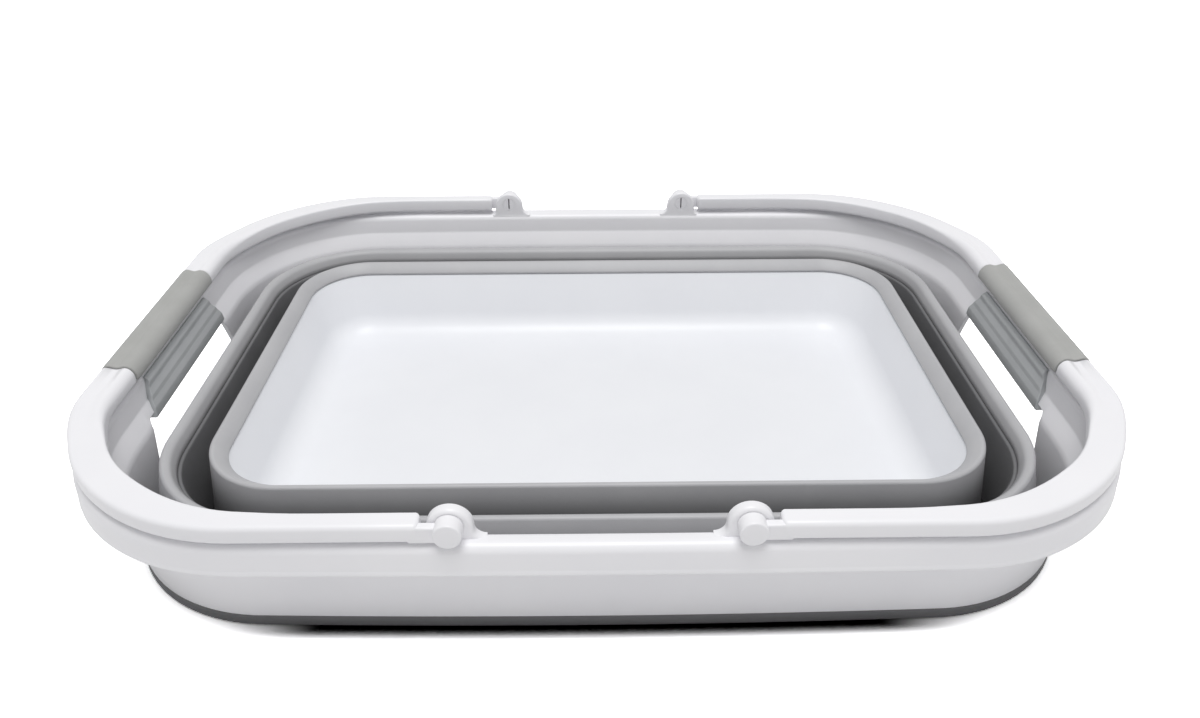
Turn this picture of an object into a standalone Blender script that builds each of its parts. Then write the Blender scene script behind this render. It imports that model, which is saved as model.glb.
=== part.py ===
import math

import bmesh
import bpy
from mathutils import Matrix, Vector

# A collapsible camp washbasin, modelled folded flat on the ground.
# The origin is the middle of its underside, +X runs along the length, the front side is at -Y.
# Every contour in plan is the same rectangle offset outwards by a reach, so all rings are concentric.
# A point of a section is (reach, height).

MM = 0.001

# Plan of the tub
CORE_HALF_X = 124.4 * MM
CORE_HALF_Y = 67.0 * MM
CORNER_STEPS = 8
ARC_STEPS = 4
CLEARANCE = 0.3 * MM
GROUND_GAP = 0.3 * MM
CUT_OVERRUN = 5.0 * MM
MITRE_LIMIT_SHARE = 0.3

# Rigid floor tray, reach and height of its edge on the middle of the wall
TRAY_WALL = 2.4 * MM
TRAY_EDGE_REACH = 28.7 * MM
TRAY_EDGE_Z = 33.6 * MM
TRAY_DRAFT = 7.3 * MM
TRAY_FOOT_ROUND = 15.2 * MM

# Soft webs that fold down beside the rigid rings, the lower one starting at the tray's edge
WEB_WALL = 1.6 * MM
WEB_FOOT_ROUND = 2.2 * MM
WEB_FOOT_Z = GROUND_GAP + WEB_WALL / 2 + WEB_FOOT_ROUND
LOWER_CREST_RUN = 4.6 * MM
LOWER_CREST_REACH = TRAY_EDGE_REACH + LOWER_CREST_RUN
LOWER_CREST_RISE = 7.0 * MM
LOWER_CREST_Z = TRAY_EDGE_Z + LOWER_CREST_RISE
LOWER_CREST_ROUND = 1.1 * MM

# Rigid middle ring
RING_WALL = 2.2 * MM
RING_FOOT_RUN = 8.9 * MM
RING_FOOT_REACH = LOWER_CREST_REACH + RING_FOOT_RUN
RING_SLEEVE = 1.1 * MM
RING_FOOT_Z = WEB_FOOT_Z + CLEARANCE + RING_SLEEVE
RING_LEAN = 3.0 * MM
RING_TOP_REACH = RING_FOOT_REACH + RING_LEAN
RING_HEIGHT = 31.7 * MM
RING_TOP_Z = RING_FOOT_Z + RING_HEIGHT
UPPER_CREST_RUN = 7.3 * MM
UPPER_CREST_REACH = RING_TOP_REACH + UPPER_CREST_RUN
UPPER_CREST_RISE = 3.7 * MM
UPPER_CREST_Z = RING_TOP_Z + UPPER_CREST_RISE
UPPER_CREST_ROUND = 2.6 * MM

# Rim frame, a sheet bent from the wall's foot over the rim and down the skirt
FRAME_WALL = 2.4 * MM
FRAME_FOOT_RUN = 12.7 * MM
FRAME_FOOT_REACH = UPPER_CREST_REACH + FRAME_FOOT_RUN
FRAME_SLEEVE = 0.9 * MM
FRAME_FOOT_Z = WEB_FOOT_Z + CLEARANCE + FRAME_SLEEVE
FRAME_LEAN = 2.6 * MM
FRAME_KNEE_REACH = FRAME_FOOT_REACH + FRAME_LEAN
SHOULDER_RUN = 4.5 * MM
FRAME_SHOULDER_REACH = FRAME_KNEE_REACH + SHOULDER_RUN
RIM_RUN = 1.3 * MM
RIM_INNER_REACH = FRAME_SHOULDER_REACH + RIM_RUN
RIM_INNER_ROUND = 2.6 * MM
RIM_FLAT = 0.6 * MM
RIM_OUTER_ROUND = 3.0 * MM
RIM_OUTER_REACH = RIM_INNER_REACH + RIM_INNER_ROUND + RIM_FLAT + RIM_OUTER_ROUND
RIM_TOP_Z = 52.0 * MM
SHOULDER_DEPTH = 10.8 * MM
FRAME_SHOULDER_Z = RIM_TOP_Z - SHOULDER_DEPTH
KNEE_DEPTH = 8.0 * MM
FRAME_KNEE_Z = FRAME_SHOULDER_Z - KNEE_DEPTH
SKIRT_FLARE = 1.0 * MM
SKIRT_REACH = RIM_OUTER_REACH + SKIRT_FLARE
SKIRT_DEPTH = 12.5 * MM
SKIRT_Z = RIM_TOP_Z - SKIRT_DEPTH

# Hand slot in each end wall
SLOT_LIP_RISE = 3.3 * MM
SLOT_TOP_Z = FRAME_KNEE_Z + SLOT_LIP_RISE
SLOT_HEIGHT = 20.5 * MM
SLOT_FOOT_Z = SLOT_TOP_Z - SLOT_HEIGHT
SLOT_TOP_HALF = 49.0 * MM
SLOT_SPREAD = 6.0 * MM
SLOT_FOOT_HALF = SLOT_TOP_HALF + SLOT_SPREAD
SLOT_ROUND = 4.0 * MM

# Pivots of the handles
PIVOT_X = 50.7 * MM
PIVOT_RISE = 6.0 * MM
PIVOT_Z = RIM_TOP_Z + PIVOT_RISE
EAR_ROUND = 8.7 * MM
RIM_FACE_REACH = RIM_INNER_REACH - FRAME_WALL / 2
EAR_INSET = 1.1 * MM
EAR_INNER_REACH = RIM_FACE_REACH + EAR_INSET
EAR_THICKNESS = 5.5 * MM
EAR_FLARE = 4.0 * MM
EAR_ROOT = 2.0 * MM
PIN_R = 3.8 * MM
PIN_SPLIT = 0.8 * MM
PIN_SPLIT_DEPTH = 4.5 * MM
KNUCKLE_R = 4.8 * MM
KNUCKLE_THICKNESS = 5.2 * MM
KNUCKLE_ROUND = 0.7 * MM
KNUCKLE_STEPS = 24
NECK_THICKNESS = 2.6 * MM
NECK_HALF_HEIGHT = 3.2 * MM
NECK_OVERLAP = 3.0 * MM

# Handle bars, lying on the rim
BAR_HEIGHT = 8.7 * MM
HANDLE_BOTTOM_Z = RIM_TOP_Z + CLEARANCE
HANDLE_TOP_Z = HANDLE_BOTTOM_Z + BAR_HEIGHT
ARM_INSET = 2.0 * MM
ARM_INNER_REACH = RIM_FACE_REACH + ARM_INSET
ARM_WIDTH = 7.6 * MM
ARM_OUTER_REACH = ARM_INNER_REACH + ARM_WIDTH
ARM_END_GAP = 1.1 * MM
ARM_END_ROUND = 1.4 * MM
ARM_MID_X = 95.0 * MM
BEND_OVERHANG = 4.9 * MM
BEND_INNER_REACH = RIM_FACE_REACH - BEND_OVERHANG
BEND_WIDTH = 12.9 * MM
BEND_OUTER_REACH = BEND_INNER_REACH + BEND_WIDTH
BAR_OVERHANG = 3.1 * MM
BAR_INNER_REACH = RIM_FACE_REACH - BAR_OVERHANG
BAR_WIDTH = 14.7 * MM
BAR_OUTER_REACH = BAR_INNER_REACH + BAR_WIDTH
BAR_VALLEY = 1.4 * MM
BAR_SECTION_POINTS = 24
BAR_SQUARENESS = 2.6
BEND_START_SHARE = 0.3
SWELL_START_SHARE = 0.5
TAPER_START_SHARE = 0.55
TAPER_END_SHARE = 1.2

# Soft grips on the handle bars and under the end rims
GRIP_WALL = 1.3 * MM
GRIP_RECESS = 0.9 * MM
GRIP_HALF_LENGTH = 46.7 * MM
GRIP_SHOULDER = 0.6 * MM
GRIP_LOW_ANGLE = -26.0
LOWER_GRIP_HALF_LENGTH = SLOT_TOP_HALF - SLOT_ROUND
HOOK_START_ANGLE = -75.0
HOOK_END_ANGLE = -265.0
HOOK_STEPS = 7
HOOK_RIM_POINTS = 3

WHITE_PLASTIC = (0.86, 0.87, 0.89)
WHITE_TRAY = (0.83, 0.85, 0.88)
GREY_SOFT = (0.36, 0.36, 0.37)
GREY_GRIP = (0.44, 0.44, 0.42)


def clear_scene():
    for old in list(bpy.data.objects):
        bpy.data.objects.remove(old, do_unlink=True)


def new_collection(name):
    collection = bpy.data.collections.new(name)
    bpy.context.scene.collection.children.link(collection)
    return collection


def plastic(name, color, roughness):
    material = bpy.data.materials.new(name)
    material.use_nodes = True
    shader = material.node_tree.nodes["Principled BSDF"]
    shader.inputs["Base Color"].default_value = (*color, 1.0)
    shader.inputs["Roughness"].default_value = roughness
    shader.inputs["Metallic"].default_value = 0.0
    return material


# Lines and outlines of sections

def arc(centre, radius, start, end, steps=ARC_STEPS):
    points = []
    for step in range(steps + 1):
        angle = math.radians(start + (end - start) * step / steps)
        points.append((centre[0] + radius * math.cos(angle), centre[1] + radius * math.sin(angle)))
    return points


def offset_line(line, distance):
    points = [Vector(point) for point in line]
    moved = []
    for index, point in enumerate(points):
        before = (point - points[index - 1]).normalized() if index else None
        after = (points[index + 1] - point).normalized() if index < len(points) - 1 else None
        before = before or after
        after = after or before
        tangent = (before + after).normalized()
        normal = Vector((-tangent.y, tangent.x))
        moved.append(point + normal * distance / max(tangent.dot(after), MITRE_LIMIT_SHARE))
    return [tuple(point) for point in moved]


def strip_outline(line, thickness):
    return offset_line(line, thickness / 2) + offset_line(line, -thickness / 2)[::-1]


def smooth_step(share):
    share = min(max(share, 0.0), 1.0)
    return share * share * (3.0 - 2.0 * share)


def blend(start, end, share):
    return start + (end - start) * smooth_step(share)


# Meshes

def finish_mesh(bm, name):
    bmesh.ops.remove_doubles(bm, verts=bm.verts, dist=CLEARANCE / 100)
    bmesh.ops.recalc_face_normals(bm, faces=bm.faces)
    mesh = bpy.data.meshes.new(name)
    bm.to_mesh(mesh)
    bm.free()
    return mesh


def corner_stations(sign_x, sign_y, start_angle):
    stations = []
    for step in range(CORNER_STEPS + 1):
        angle = math.radians(start_angle + 90.0 * step / CORNER_STEPS)
        stations.append((sign_x * CORE_HALF_X, sign_y * CORE_HALF_Y, math.cos(angle), math.sin(angle)))
    return stations


def ring_stations():
    stations = []
    for sign_x, sign_y, start_angle in ((1, 1, 0.0), (-1, 1, 90.0), (-1, -1, 180.0), (1, -1, 270.0)):
        stations += corner_stations(sign_x, sign_y, start_angle)
    return stations


def bridge(bm, first, second, closed):
    count = len(first)
    for index in range(count if closed else count - 1):
        after = (index + 1) % count
        bm.faces.new((first[index], second[index], second[after], first[after]))


def station_row(bm, station, outline):
    core_x, core_y, out_x, out_y = station
    return [bm.verts.new((core_x + out_x * reach, core_y + out_y * reach, z)) for reach, z in outline]


def ring_mesh(name, outline, closed=True):
    # Carries a section round the tub; an open one is closed by flat floors at its two ends
    bm = bmesh.new()
    rows = [station_row(bm, station, outline) for station in ring_stations()]
    for index, row in enumerate(rows):
        bridge(bm, row, rows[(index + 1) % len(rows)], closed)
    if not closed:
        bm.faces.new([row[0] for row in rows])
        bm.faces.new([row[-1] for row in rows])
    return finish_mesh(bm, name)


def prism_mesh(name, outline, place, direction):
    # A flat outline pushed along a direction; place turns a point of the outline into a 3-D one
    bm = bmesh.new()
    face = bm.faces.new([bm.verts.new(place(*point)) for point in outline])
    side = bmesh.ops.extrude_face_region(bm, geom=[face])
    moved = [item for item in side["geom"] if isinstance(item, bmesh.types.BMVert)]
    bmesh.ops.translate(bm, verts=moved, vec=direction)
    return finish_mesh(bm, name)


def turned_mesh(name, profile, centre):
    # A profile of (radius, y) turned about an axis along Y
    bm = bmesh.new()
    verts = [bm.verts.new((centre[0] + radius, y, centre[1])) for radius, y in profile]
    edges = [bm.edges.new(pair) for pair in zip(verts, verts[1:])]
    bmesh.ops.spin(bm, geom=verts + edges, cent=(centre[0], 0, centre[1]), axis=(0, 1, 0),
                   angle=math.tau, steps=KNUCKLE_STEPS)
    return finish_mesh(bm, name)


def box_mesh(name, low, high):
    bm = bmesh.new()
    middle = (Vector(low) + Vector(high)) / 2
    size = Vector(high) - Vector(low)
    bmesh.ops.create_cube(bm, size=1.0, matrix=Matrix.Translation(middle) @ Matrix.Diagonal((*size, 1.0)))
    return finish_mesh(bm, name)


# Objects

def add_object(name, mesh, collection, material=None, origin=(0, 0, 0), parent=None):
    mesh.transform(Matrix.Translation(-Vector(origin)))
    part = bpy.data.objects.new(name, mesh)
    collection.objects.link(part)
    part.location = origin
    if parent:
        part.parent = parent
        part.location = Vector(origin) - parent.location
    if material:
        mesh.materials.append(material)
        mesh.shade_smooth()
        mesh.set_sharp_from_angle(angle=math.radians(35))
    return part


def add_helper(name, mesh, both_sides=False):
    helper = add_object(name, mesh, HELPERS)
    helper.hide_render = True
    helper.display_type = "WIRE"
    if both_sides:
        mirror(helper)
    return helper


def mirror(part):
    modifier = part.modifiers.new("both sides", "MIRROR")
    modifier.use_axis = (False, True, False)
    modifier.merge_threshold = CLEARANCE / 10


def combine(part, operation, helper):
    modifier = part.modifiers.new(helper.name, "BOOLEAN")
    modifier.operation = operation
    modifier.object = helper
    modifier.solver = "EXACT"


# Floor tray

def tray_line():
    # Middle of the floor and wall: the wall leans in by the draft and meets the floor in a round foot
    floor_z = TRAY_WALL / 2
    foot_centre = (TRAY_EDGE_REACH - TRAY_DRAFT * (TRAY_EDGE_Z - TRAY_FOOT_ROUND) / TRAY_EDGE_Z
                   - TRAY_FOOT_ROUND, floor_z + TRAY_FOOT_ROUND)
    foot = arc(foot_centre, TRAY_FOOT_ROUND, -90.0, -10.0, steps=6)
    return [(foot_centre[0] - TRAY_WALL, floor_z)] + foot + [(TRAY_EDGE_REACH, TRAY_EDGE_Z)]


def build_tray():
    return add_object("floor_tray", ring_mesh("floor_tray", strip_outline(tray_line(), TRAY_WALL), closed=False),
                      PARTS, plastic("tray_white", WHITE_TRAY, 0.35))


# Soft webs and middle ring

def web_foot(start_reach, start_z):
    # From under a rigid wall, round the fold on the ground
    centre = (start_reach - WEB_FOOT_ROUND, WEB_FOOT_Z)
    return [(start_reach, start_z - CLEARANCE)] + arc(centre, WEB_FOOT_ROUND, 0.0, -180.0)


def lower_web_line():
    # Up from the middle ring's foot to the crest, then down on to the tray's edge
    crest = (LOWER_CREST_REACH - WEB_WALL / 2 - LOWER_CREST_ROUND,
             LOWER_CREST_Z - WEB_WALL / 2 - LOWER_CREST_ROUND)
    lip = (TRAY_EDGE_REACH - WEB_WALL / 3, TRAY_EDGE_Z + CLEARANCE + WEB_WALL / 3)
    return web_foot(RING_FOOT_REACH, RING_FOOT_Z) + arc(crest, LOWER_CREST_ROUND, 5.0, 150.0) + [lip]


def upper_web_line():
    # Up from under the frame to the crest, then down on to the middle ring's top edge
    crest = (UPPER_CREST_REACH - WEB_WALL / 2 - UPPER_CREST_ROUND,
             UPPER_CREST_Z - WEB_WALL / 2 - UPPER_CREST_ROUND)
    seat = (RING_TOP_REACH + RING_WALL / 3, RING_TOP_Z + CLEARANCE + WEB_WALL / 2)
    return web_foot(FRAME_FOOT_REACH, FRAME_FOOT_Z) + arc(crest, UPPER_CREST_ROUND, 10.0, 130.0) + [seat]


def build_webs():
    soft = plastic("soft_grey", GREY_SOFT, 0.5)
    add_object("lower_web", ring_mesh("lower_web", strip_outline(lower_web_line(), WEB_WALL)), PARTS, soft)
    add_object("upper_web", ring_mesh("upper_web", strip_outline(upper_web_line(), WEB_WALL)), PARTS, soft)


def build_middle_ring():
    line = [(RING_FOOT_REACH, RING_FOOT_Z), (RING_TOP_REACH, RING_TOP_Z)]
    return add_object("middle_ring", ring_mesh("middle_ring", strip_outline(line, RING_WALL)),
                      PARTS, plastic("ring_grey", GREY_SOFT, 0.4))


# Rim frame

def rim_wall_line():
    return [(FRAME_FOOT_REACH, FRAME_FOOT_Z), (FRAME_KNEE_REACH, FRAME_KNEE_Z),
            (FRAME_SHOULDER_REACH, FRAME_SHOULDER_Z)]


def frame_line():
    crown_z = RIM_TOP_Z - FRAME_WALL / 2
    inner = arc((RIM_INNER_REACH + RIM_INNER_ROUND, crown_z - RIM_INNER_ROUND), RIM_INNER_ROUND, 180.0, 90.0)
    outer = arc((RIM_OUTER_REACH - RIM_OUTER_ROUND, crown_z - RIM_OUTER_ROUND), RIM_OUTER_ROUND, 90.0, 0.0)
    return rim_wall_line() + inner + outer + [(SKIRT_REACH, SKIRT_Z)]


def ear_outline():
    # Round top over the pivot, upright on the handle's side, flared towards the middle of the rim
    base = RIM_TOP_Z - PIVOT_Z
    top = arc((0, 0), EAR_ROUND, 180.0, 0.0, steps=14)
    flare = arc((EAR_ROUND + EAR_FLARE, base + EAR_FLARE), EAR_FLARE, 180.0, 270.0)
    flare.append((EAR_ROUND + EAR_FLARE, base - EAR_ROOT))
    return [(-EAR_ROUND, base - EAR_ROOT)] + top + flare


def slot_outline():
    top = arc((SLOT_TOP_HALF - SLOT_ROUND, SLOT_TOP_Z - SLOT_ROUND), SLOT_ROUND, 90.0, 10.0)
    foot = arc((SLOT_FOOT_HALF - SLOT_ROUND, SLOT_FOOT_Z + SLOT_ROUND), SLOT_ROUND, 10.0, -90.0)
    half = top + foot
    return half + [(-across, z) for across, z in reversed(half)]


def build_frame():
    frame = add_object("rim_frame", ring_mesh("rim_frame", strip_outline(frame_line(), FRAME_WALL)),
                       PARTS, plastic("frame_white", WHITE_PLASTIC, 0.35))
    ear_y = -(CORE_HALF_Y + EAR_INNER_REACH)
    for side, name in ((-1, "left"), (1, "right")):
        pivot_x = side * PIVOT_X
        ear = prism_mesh("ear", ear_outline(), lambda u, v: (pivot_x - side * u, ear_y, PIVOT_Z + v),
                         (0, -EAR_THICKNESS, 0))
        combine(frame, "UNION", add_helper(name + "_ears", ear, both_sides=True))
        bore_r = PIN_R + CLEARANCE
        bore_ends = (ear_y + CUT_OVERRUN, ear_y - EAR_THICKNESS - CUT_OVERRUN)
        bore = turned_mesh("bore", [(0, bore_ends[0]), (bore_r, bore_ends[0]), (bore_r, bore_ends[1]),
                                    (0, bore_ends[1])], (pivot_x, PIVOT_Z))
        combine(frame, "DIFFERENCE", add_helper(name + "_bores", bore, both_sides=True))
        reaches = [reach for reach, z in frame_line()]
        slot_start = side * (CORE_HALF_X + min(reaches) - CUT_OVERRUN)
        slot_length = max(reaches) - min(reaches) + 2 * CUT_OVERRUN
        slot = prism_mesh("slot", slot_outline(), lambda across, z: (slot_start, across, z),
                          (side * slot_length, 0, 0))
        combine(frame, "DIFFERENCE", add_helper(name + "_slot", slot))
    return frame


# Handles

def bar_section(inner, outer, bottom, top, valley):
    # A squarish oval whose top has a shallow valley between two ridges
    middle = (inner + outer) / 2
    half_width = (outer - inner) / 2
    half_height = (top - bottom) / 2
    power = 2.0 / BAR_SQUARENESS
    points = []
    for index in range(BAR_SECTION_POINTS):
        angle = math.tau * index / BAR_SECTION_POINTS
        across = math.copysign(abs(math.cos(angle)) ** power, math.cos(angle))
        up = math.copysign(abs(math.sin(angle)) ** power, math.sin(angle))
        dip = valley * max(math.cos(math.pi * across), 0.0) if up > 0 else 0.0
        points.append((middle + half_width * across, (top + bottom) / 2 + half_height * up - dip))
    return points


def handle_section(bend_share, inset=0.0):
    # bend_share is 0 on the end bar, 1 where the corner meets the straight arm, and more along the arm
    start_share = bend_share / BEND_START_SHARE
    taper_share = (bend_share - TAPER_START_SHARE) / (TAPER_END_SHARE - TAPER_START_SHARE)
    swell_share = (bend_share - SWELL_START_SHARE) / (1.0 - SWELL_START_SHARE)
    inner = blend(BAR_INNER_REACH, BEND_INNER_REACH, start_share)
    inner += blend(0.0, ARM_INNER_REACH - BEND_INNER_REACH, taper_share)
    outer = blend(BAR_OUTER_REACH, BEND_OUTER_REACH, start_share)
    outer += blend(0.0, ARM_OUTER_REACH - BEND_OUTER_REACH, swell_share)
    valley = blend(BAR_VALLEY, 0.0, start_share)
    return bar_section(inner + inset, outer - inset, HANDLE_BOTTOM_Z + inset, HANDLE_TOP_Z - inset, valley)


def arm_end_x():
    return PIVOT_X + EAR_ROUND + ARM_END_GAP


def half_handle_mesh(name, side):
    # The front half, from the middle of the end bar round the corner to the end of the arm
    neck_y = GRIP_HALF_LENGTH + CLEARANCE
    end_x = side * CORE_HALF_X
    rows = [(end_x, 0, side, 0, handle_section(0.0, GRIP_RECESS)),
            (end_x, -neck_y, side, 0, handle_section(0.0, GRIP_RECESS)),
            (end_x, -neck_y - GRIP_SHOULDER, side, 0, handle_section(0.0))]
    for step in range(CORNER_STEPS + 1):
        share = step / CORNER_STEPS
        angle = math.radians(90.0 * share)
        rows.append((end_x, -CORE_HALF_Y, side * math.cos(angle), -math.sin(angle), handle_section(share)))
    arm_share = (CORE_HALF_X - ARM_MID_X) / (ARM_OUTER_REACH * math.pi / 2)
    arm = handle_section(2.0)
    for x, section in ((ARM_MID_X, handle_section(1.0 + arm_share)), (arm_end_x() + ARM_END_ROUND, arm),
                       (arm_end_x(), handle_section(2.0, ARM_END_ROUND))):
        rows.append((side * x, -CORE_HALF_Y, 0, -1, section))
    bm = bmesh.new()
    loops = []
    for core_x, core_y, out_x, out_y, section in rows:
        loops.append(station_row(bm, (core_x, core_y, out_x, out_y), section))
    for first, second in zip(loops, loops[1:]):
        bridge(bm, first, second, closed=True)
    bm.faces.new(loops[-1])
    return finish_mesh(bm, name)


def knuckle_mesh(pivot_x):
    # Knuckle outside the ear with the pin that snaps through it
    pin_y = -(CORE_HALF_Y + EAR_INNER_REACH + CLEARANCE)
    inner_y = -(CORE_HALF_Y + EAR_INNER_REACH + EAR_THICKNESS + CLEARANCE)
    outer_y = inner_y - KNUCKLE_THICKNESS
    profile = [(0, pin_y), (PIN_R, pin_y), (PIN_R, inner_y), (KNUCKLE_R, inner_y)]
    profile += [(KNUCKLE_R, outer_y + KNUCKLE_ROUND), (KNUCKLE_R - KNUCKLE_ROUND, outer_y), (0, outer_y)]
    return turned_mesh("knuckle", profile, (pivot_x, PIVOT_Z))


def neck_mesh(pivot_x, side):
    inner_y = -(CORE_HALF_Y + EAR_INNER_REACH + EAR_THICKNESS + CLEARANCE)
    ends = sorted((pivot_x, side * (arm_end_x() + NECK_OVERLAP)))
    return box_mesh("neck", (ends[0], inner_y - NECK_THICKNESS, PIVOT_Z - NECK_HALF_HEIGHT),
                    (ends[1], inner_y, PIVOT_Z + NECK_HALF_HEIGHT))


def build_handle(side, name, white):
    pivot_x = side * PIVOT_X
    handle = add_object(name, half_handle_mesh(name, side), PARTS, white, origin=(pivot_x, 0, PIVOT_Z))
    mirror(handle)
    combine(handle, "UNION", add_helper(name + "_knuckles", knuckle_mesh(pivot_x), both_sides=True))
    combine(handle, "UNION", add_helper(name + "_necks", neck_mesh(pivot_x, side), both_sides=True))
    pin_y = -(CORE_HALF_Y + EAR_INNER_REACH)
    split = box_mesh("split", (pivot_x - PIN_SPLIT / 2, pin_y - PIN_SPLIT_DEPTH, PIVOT_Z - KNUCKLE_R),
                     (pivot_x + PIN_SPLIT / 2, pin_y + CUT_OVERRUN, PIVOT_Z + KNUCKLE_R))
    combine(handle, "DIFFERENCE", add_helper(name + "_splits", split, both_sides=True))
    return handle


# Grips

def handle_grip_outline():
    # A saddle over the narrowed bar, open underneath
    bar = handle_section(0.0, GRIP_RECESS)
    skipped = round(GRIP_LOW_ANGLE / 360.0 * BAR_SECTION_POINTS)
    order = range(skipped, BAR_SECTION_POINTS // 2 - skipped + 1)
    line = [bar[index % BAR_SECTION_POINTS] for index in order]
    return strip_outline(offset_line(line, -(CLEARANCE + GRIP_WALL / 2)), GRIP_WALL)


def lower_grip_outline():
    # Hooks under the slanting top edge of the hand slot and lies on the inner face of the end rim
    space = CLEARANCE + GRIP_WALL / 2
    share = SLOT_LIP_RISE / KNEE_DEPTH
    lip = (FRAME_KNEE_REACH + SHOULDER_RUN * share, SLOT_TOP_Z)
    lean = math.degrees(math.atan2(KNEE_DEPTH, SHOULDER_RUN))
    lip_half = FRAME_WALL / 2 / math.sin(math.radians(lean))
    hook = arc(lip, lip_half + space, lean + HOOK_START_ANGLE, lean + HOOK_END_ANGLE, HOOK_STEPS)
    shoulder_index = len(rim_wall_line()) - 1
    face = [lip] + frame_line()[shoulder_index:shoulder_index + 1 + HOOK_RIM_POINTS]
    return strip_outline(hook + offset_line(face, FRAME_WALL / 2 + space)[1:], GRIP_WALL)


def build_grips(side, name, frame, handle, soft):
    x = side * CORE_HALF_X
    upper = prism_mesh("grip", handle_grip_outline(), lambda reach, z: (x + side * reach, -GRIP_HALF_LENGTH, z),
                       (0, 2 * GRIP_HALF_LENGTH, 0))
    add_object(name + "_handle_grip", upper, PARTS, soft, origin=handle.location, parent=handle)
    lower = prism_mesh("grip", lower_grip_outline(),
                       lambda reach, z: (x + side * reach, -LOWER_GRIP_HALF_LENGTH, z),
                       (0, 2 * LOWER_GRIP_HALF_LENGTH, 0))
    add_object(name + "_end_grip", lower, PARTS, soft, parent=frame)


clear_scene()
PARTS = new_collection("collapsible_camp_washbasin")
HELPERS = new_collection("helpers")
build_tray()
build_webs()
build_middle_ring()
rim_frame = build_frame()
handle_white = plastic("handle_white", WHITE_PLASTIC, 0.35)
grip_soft = plastic("grip_grey", GREY_GRIP, 0.6)
for hand_side, hand_name in ((-1, "left"), (1, "right")):
    hand = build_handle(hand_side, hand_name + "_handle", handle_white)
    build_grips(hand_side, hand_name, rim_frame, hand, grip_soft)
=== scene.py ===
import math

import bmesh
import bpy
from mathutils import Matrix, Vector


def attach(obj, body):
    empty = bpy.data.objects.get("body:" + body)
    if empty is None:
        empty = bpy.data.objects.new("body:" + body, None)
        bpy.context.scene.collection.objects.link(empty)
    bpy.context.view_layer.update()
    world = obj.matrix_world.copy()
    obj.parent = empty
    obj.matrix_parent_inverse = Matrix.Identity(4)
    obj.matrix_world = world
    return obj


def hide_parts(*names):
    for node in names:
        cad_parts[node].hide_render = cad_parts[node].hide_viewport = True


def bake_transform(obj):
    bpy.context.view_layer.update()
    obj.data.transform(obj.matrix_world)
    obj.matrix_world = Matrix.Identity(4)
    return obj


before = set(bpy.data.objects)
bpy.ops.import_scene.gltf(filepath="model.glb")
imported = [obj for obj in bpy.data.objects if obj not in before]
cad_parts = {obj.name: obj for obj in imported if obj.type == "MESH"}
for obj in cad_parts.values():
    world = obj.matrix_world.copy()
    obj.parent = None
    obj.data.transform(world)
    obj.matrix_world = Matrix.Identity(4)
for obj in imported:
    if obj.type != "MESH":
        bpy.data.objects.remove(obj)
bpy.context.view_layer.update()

mm = 0.001

# The tub's plan is one rectangle offset outwards, so a section point is (reach, height) in mm
tub = {"coreHalfX": 124.4, "coreHalfY": 67.0, "cornerSteps": 24, "straightCuts": 31,
       "bowRim": 1.0, "bowFoot": 1.9, "bowTopZ": 40.0, "bowFade": 4.0}
# Limits of the outline and mesh tools, lengths in mm
limits = {"merge": 0.002, "axisRadius": 0.02, "leastRound": 0.01, "longestCut": 0.48,
          "leastMitre": 0.4}


def arcPoints(centre, radius, start, end, steps):
    angles = [math.radians(start + (end - start) * step / steps) for step in range(steps + 1)]
    return [(centre[0] + radius * math.cos(angle), centre[1] + radius * math.sin(angle))
            for angle in angles]


def roundedEdge(radius, steps=4):
    # (inset, distance from the end face) round one edge, from the end face inwards
    angles = [math.pi / 2 * step / steps for step in range(steps + 1)]
    return [(radius * (1 - math.sin(angle)), radius * (1 - math.cos(angle))) for angle in angles]


def roundedLine(corners, steps):
    # corners are (across, up, round); the first and last stay sharp
    line = [tuple(corners[0][:2])]
    for before, corner, after in zip(corners, corners[1:], corners[2:]):
        here = Vector(corner[:2])
        toBefore = Vector(before[:2]) - here
        toAfter = Vector(after[:2]) - here
        half = toBefore.angle(toAfter) / 2
        shortest = min(toBefore.length, toAfter.length)
        cut = min(corner[2] / math.tan(half), limits["longestCut"] * shortest)
        radius = cut * math.tan(half)
        if radius < limits["leastRound"]:
            line.append(tuple(here))
            continue
        middle = (toBefore.normalized() + toAfter.normalized()).normalized()
        centre = here + middle * radius / math.sin(half)
        first = here + toBefore.normalized() * cut - centre
        last = here + toAfter.normalized() * cut - centre
        sweep = first.angle_signed(last)
        for step in range(steps + 1):
            line.append(tuple(centre + Matrix.Rotation(-sweep * step / steps, 2) @ first))
    line.append(tuple(corners[-1][:2]))
    return line


def offsetLine(line, distance, closed=False):
    points = [Vector(point) for point in line]
    count = len(points)
    moved = []
    for index, point in enumerate(points):
        before = after = None
        if closed or index > 0:
            before = (point - points[index - 1]).normalized()
        if closed or index < count - 1:
            after = (points[(index + 1) % count] - point).normalized()
        before = before or after
        after = after or before
        tangent = (before + after).normalized()
        normal = Vector((-tangent.y, tangent.x))
        mitre = max(tangent.dot(after), limits["leastMitre"])
        moved.append(tuple(point + normal * distance / mitre))
    return moved


def thickLine(line, thickness, capSteps, inset=0.0):
    # A strip round a line, with round ends
    half = thickness / 2 - inset
    sides = offsetLine(line, half), offsetLine(line, -half)[::-1]
    outline = []
    for side, end, inner in zip(sides, (line[-1], line[0]), (line[-2], line[1])):
        outline += side
        ahead = (Vector(end) - Vector(inner)).normalized()
        across = Vector((-ahead.y, ahead.x))
        for step in range(1, capSteps):
            angle = math.pi * step / capSteps
            turned = across * math.cos(angle) + ahead * math.sin(angle)
            outline.append(tuple(Vector(end) + turned * half))
    return outline


def smoothStep(share):
    share = min(max(share, 0.0), 1.0)
    return share * share * (3.0 - 2.0 * share)


def mix(start, end, share):
    return start + (end - start) * smoothStep(share)


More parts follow.
